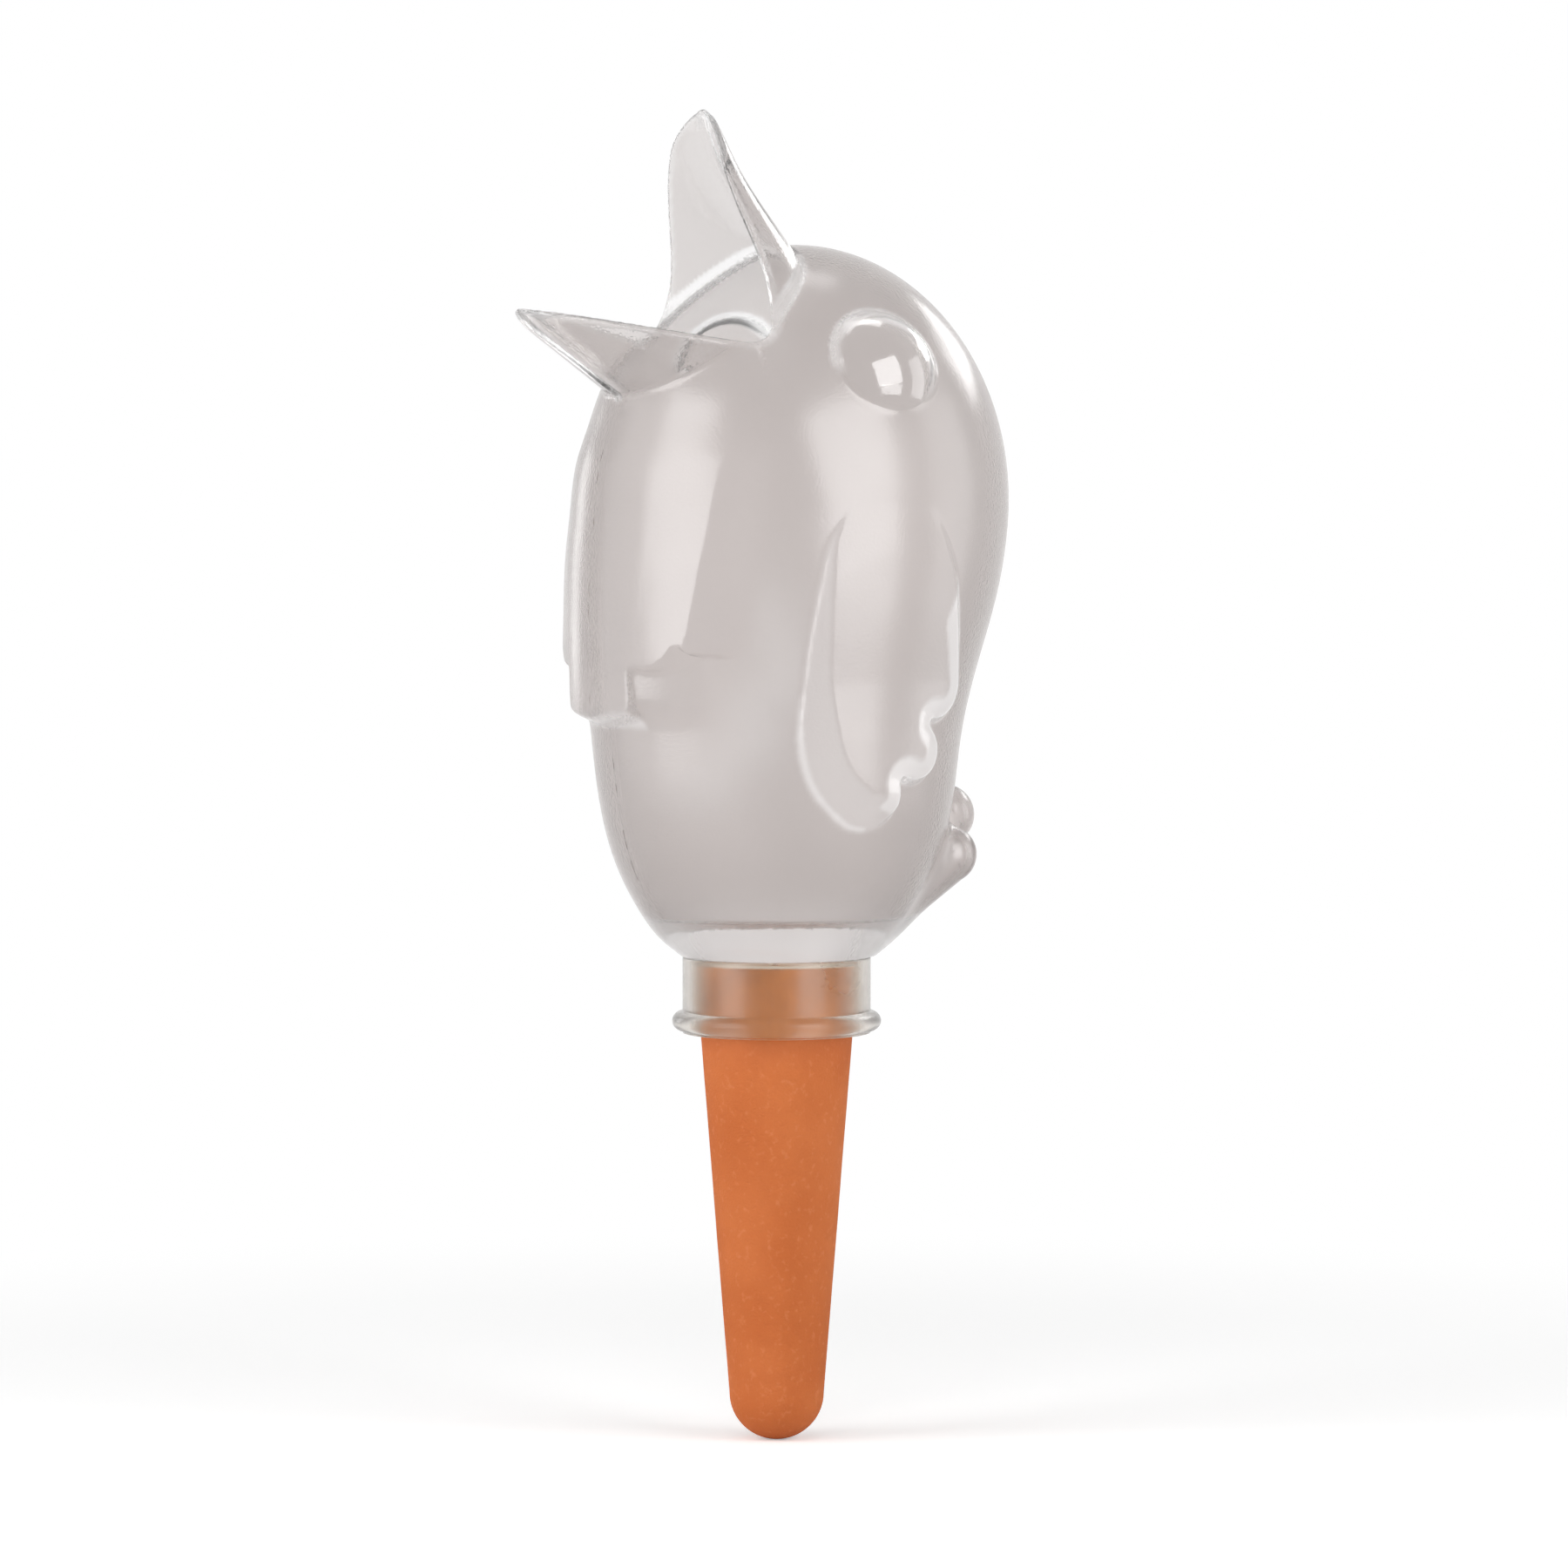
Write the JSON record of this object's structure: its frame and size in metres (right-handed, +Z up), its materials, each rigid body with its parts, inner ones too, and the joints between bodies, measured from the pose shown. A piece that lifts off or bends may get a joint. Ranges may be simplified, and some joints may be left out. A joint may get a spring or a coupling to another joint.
{
  "type": "self watering spike",
  "caption": "Clear hollow bird with a wide open beak, on a porous clay spike: filled through the beak, it waters a pot slowly through the clay.",
  "frame": {"origin": "on the spike's axis at the soil line, level with the underside of the collar's bead", "axes": "+Z up along the spike, -Y the way the bird looks, +X the bird's left side"},
  "size_m": [0.0684, 0.0901, 0.2247],
  "materials": {
    "clear_plastic": "clear, glossy moulding with a faint grey tint",
    "clear_collar": "clear moulding, slightly milky",
    "soft_seal": "soft, translucent",
    "terracotta": "unglazed, matte, fine grained"
  },
  "bodies": {
    "spike": {"clay_spike": "terracotta"},
    "seal": {"seal_sleeve": "soft_seal"},
    "reservoir": {"left_half_shell": "clear_plastic", "right_half_shell": "clear_plastic", "neck_collar": "clear_collar"}
  },
  "joints": [
    {"name": "reservoir_lift", "type": "slide", "parent": "spike", "child": "seal", "axis": [0, 0, 1], "range_m": [0, 0.025]},
    {"name": "bird_turn", "type": "hinge", "parent": "seal", "child": "reservoir", "pos_m": [0, 0, 0], "axis": [0, 0, 1], "continuous": true}
  ]
}
